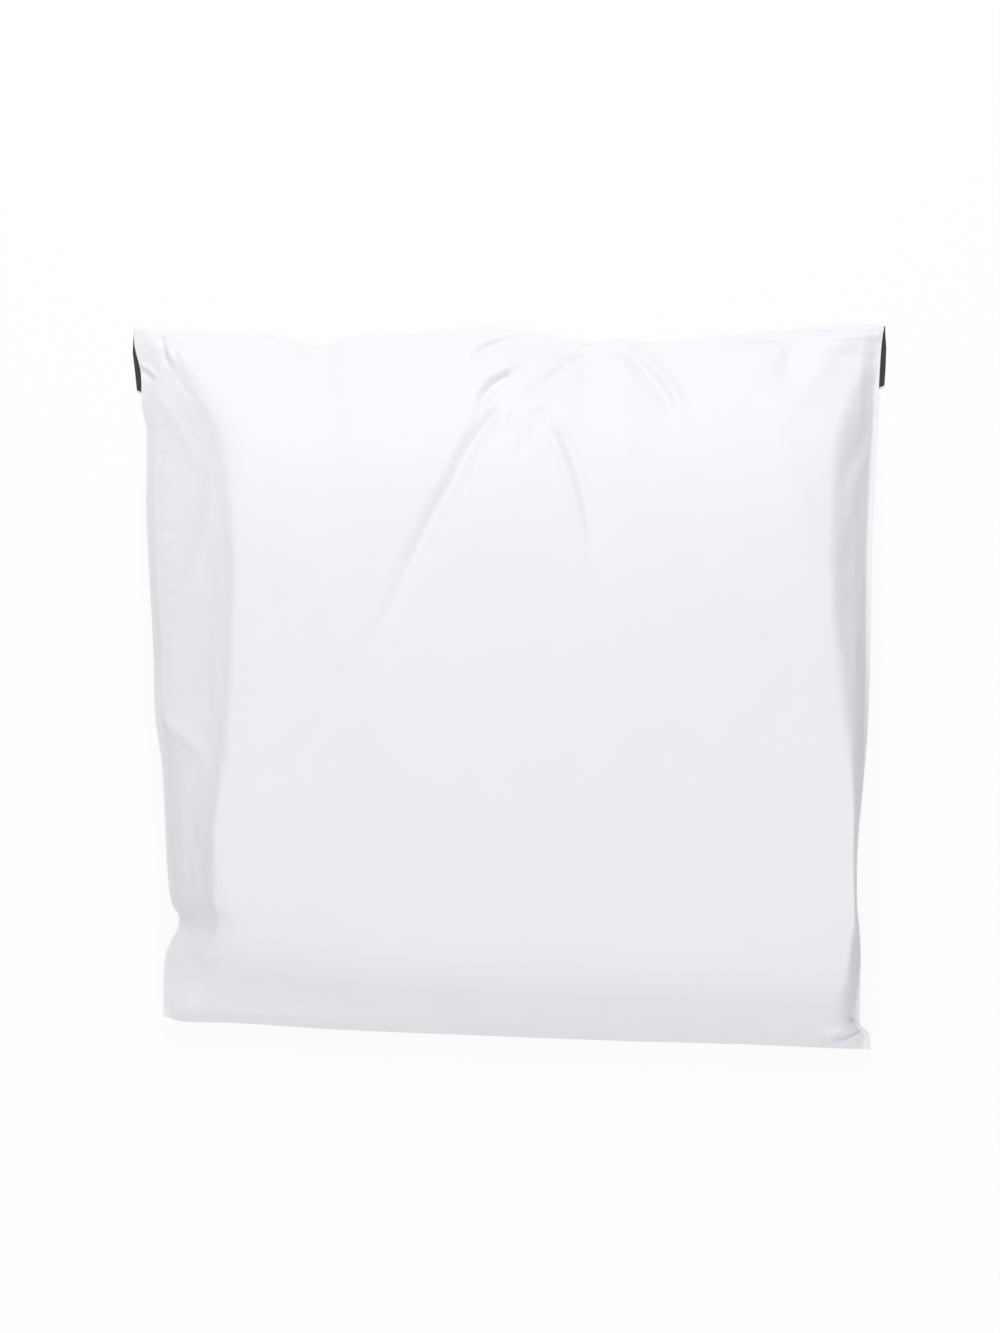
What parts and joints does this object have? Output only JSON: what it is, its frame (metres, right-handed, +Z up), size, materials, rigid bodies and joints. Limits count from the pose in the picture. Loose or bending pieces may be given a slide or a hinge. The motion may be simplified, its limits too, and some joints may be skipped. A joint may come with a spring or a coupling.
{
  "type": "poly mailer bag",
  "caption": "Filled white polythene mailing bag, sealed by its own folded flap, lying on its back, with welded sides, grip creases and a turned-out corner.",
  "frame": {"origin": "centre of the footprint of the lying bag, on the surface that it rests on", "axes": "+X to the right across the bag, +Y along the bag towards the folded top and its flap, +Z up out of the front panel"},
  "size_m": [0.6124, 0.5878, 0.0695],
  "materials": {
    "white_film": "semi-gloss co-extruded polythene film, white outside",
    "dark_lining": "satin dark grey inner face of the same film, seen at the flap's ends"
  },
  "bodies": {
    "root": {"mailer_bag": "white_film"}
  },
  "joints": []
}
